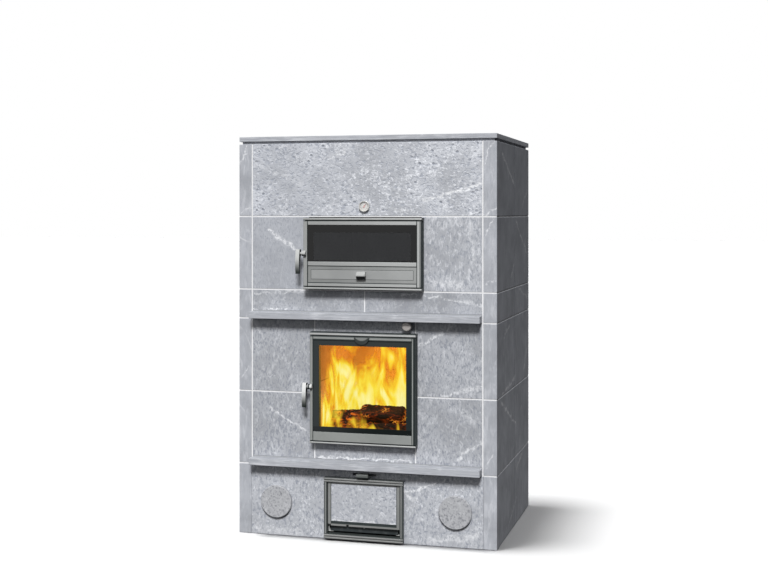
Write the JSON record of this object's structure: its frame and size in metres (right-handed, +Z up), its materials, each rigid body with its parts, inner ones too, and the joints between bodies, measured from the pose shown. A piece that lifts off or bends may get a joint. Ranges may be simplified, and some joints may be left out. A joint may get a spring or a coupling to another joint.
{
  "type": "masonry heater",
  "caption": "Free-standing soapstone masonry heater with a glazed fire door, a bake oven above, stone ledges, an ash drawer and sweep plugs below.",
  "frame": {"origin": "on the floor, under the middle of the stone body's footprint", "axes": "+Z up, -Y out of the front with the doors, +X to the right as seen from the front"},
  "size_m": [1.2, 0.955, 1.817],
  "materials": {
    "soapstone_face": "honed, speckled blue-grey soapstone",
    "soapstone_wall": "honed soapstone with upright streaks",
    "soapstone_sawn": "sawn soapstone edge",
    "soapstone_plug": "honed soapstone, slightly warmer",
    "mortar": "pale joint mortar",
    "firebrick": "matt refractory brick",
    "cast_iron": "dark grey-green stove paint",
    "door_metal": "satin grey-green heat-proof paint",
    "dark_grip": "satin dark grey",
    "handle_steel": "satin steel",
    "sheet_steel": "plain sheet steel",
    "door_glass": "clear ceramic glass with a black printed border",
    "rope_seal": "glass-fibre rope",
    "gauge_steel": "polished bezel",
    "dial_white": "matt white",
    "needle_red": "gloss red",
    "gauge_glass": "clear flat glass"
  },
  "bodies": {
    "masonry": {"front_base_slab": "soapstone_face", "front_fire_slabs": "soapstone_face", "fire_sill": "soapstone_face", "fire_lintel": "soapstone_face", "front_frieze_slabs": "soapstone_face", "front_oven_slabs": "soapstone_face", "front_top_slab": "soapstone_face", "left_wall_slabs": "soapstone_wall", "right_wall_slabs": "soapstone_wall", "back_wall_slabs": "soapstone_wall", "flue_slab": "soapstone_wall", "base_slab": "soapstone_wall", "lower_ledge": "soapstone_sawn", "upper_ledge": "soapstone_sawn", "top_slab": "soapstone_sawn", "shadow_gap_slab": "soapstone_sawn", "joint_mortar": "mortar", "core_side_bricks": "firebrick", "core_back_bricks": "firebrick", "firebox_floor_bricks": "firebrick", "oven_floor_slabs": "firebrick", "oven_vault_slab": "firebrick", "core_cover_slab": "firebrick", "fire_grate": "cast_iron", "flue_collar": "cast_iron", "oven_door_frame": "cast_iron", "fire_door_frame": "cast_iron", "ash_frame": "cast_iron", "ash_runners": "sheet_steel", "door_hinge_pins": "sheet_steel", "oven_door_seal": "rope_seal", "fire_door_seal": "rope_seal", "gauge_case": "gauge_steel", "gauge_dial": "dial_white", "gauge_lens": "gauge_glass"},
    "oven_door": {"oven_door_leaf": "door_metal", "oven_door_glass": "door_glass", "oven_glass_clips": "sheet_steel"},
    "oven_handle": {"oven_door_lever": "handle_steel", "oven_door_latch": "handle_steel"},
    "oven_flap": {"oven_air_flap": "door_metal", "oven_flap_knob": "dark_grip"},
    "fire_door": {"fire_door_leaf": "door_metal", "fire_door_glass": "door_glass", "fire_glass_clips": "sheet_steel"},
    "fire_handle": {"fire_door_lever": "handle_steel", "fire_door_latch": "handle_steel"},
    "air_wash": {"air_wash_tab": "door_metal"},
    "ash_drawer": {"ash_drawer_carrier": "door_metal", "ash_drawer_stone": "soapstone_face", "ash_pan": "sheet_steel", "ash_pan_screw": "sheet_steel"},
    "ash_catch": {"ash_drawer_catch": "door_metal"},
    "air_control": {"air_control_lever": "door_metal"},
    "damper": {"damper_knob": "handle_steel", "damper_rod": "handle_steel", "damper_plate": "handle_steel"},
    "needle": {"gauge_needle": "needle_red"},
    "plug_left": {"left_sweep_plug": "soapstone_plug"},
    "plug_right": {"right_sweep_plug": "soapstone_plug"}
  },
  "joints": [
    {"name": "oven_door_hinge", "type": "hinge", "parent": "masonry", "child": "oven_door", "pos_m": [0.26, -0.477, 1.2865], "axis": [0, 0, 1], "range_deg": [0, 110]},
    {"name": "oven_handle_turn", "type": "hinge", "parent": "oven_door", "child": "oven_handle", "pos_m": [-0.28, -0.492, 1.287], "axis": [-1, 0, 0], "range_deg": [0, 45]},
    {"name": "oven_flap_tilt", "type": "hinge", "parent": "oven_door", "child": "oven_flap", "pos_m": [0, -0.484, 1.212], "axis": [-1, 0, 0], "range_deg": [0, 45]},
    {"name": "fire_door_hinge", "type": "hinge", "parent": "masonry", "child": "fire_door", "pos_m": [0.231, -0.471, 0.682], "axis": [0, 0, 1], "range_deg": [0, 110]},
    {"name": "fire_handle_turn", "type": "hinge", "parent": "fire_door", "child": "fire_handle", "pos_m": [-0.25, -0.486, 0.688], "axis": [-1, 0, 0], "range_deg": [0, 45]},
    {"name": "air_wash_slide", "type": "slide", "parent": "fire_door", "child": "air_wash", "axis": [1, 0, 0], "range_m": [-0.02, 0.02]},
    {"name": "ash_drawer_pull", "type": "slide", "parent": "masonry", "child": "ash_drawer", "axis": [0, -1, 0], "range_m": [0, 0.28]},
    {"name": "ash_catch_slide", "type": "slide", "parent": "ash_drawer", "child": "ash_catch", "axis": [1, 0, 0], "range_m": [0, 0.011]},
    {"name": "air_control_slide", "type": "slide", "parent": "masonry", "child": "air_control", "axis": [1, 0, 0], "range_m": [-0.05, 0.05]},
    {"name": "damper_pull", "type": "slide", "parent": "masonry", "child": "damper", "axis": [0, -1, 0], "range_m": [0, 0.12]},
    {"name": "gauge_needle_turn", "type": "hinge", "parent": "masonry", "child": "needle", "pos_m": [0, -0.4465, 1.498], "axis": [0, 1, 0], "range_deg": [-170, 100]},
    {"name": "left_plug_pull", "type": "slide", "parent": "masonry", "child": "plug_left", "axis": [0, -1, 0], "range_m": [0, 0.09]},
    {"name": "right_plug_pull", "type": "slide", "parent": "masonry", "child": "plug_right", "axis": [0, -1, 0], "range_m": [0, 0.09]}
  ]
}
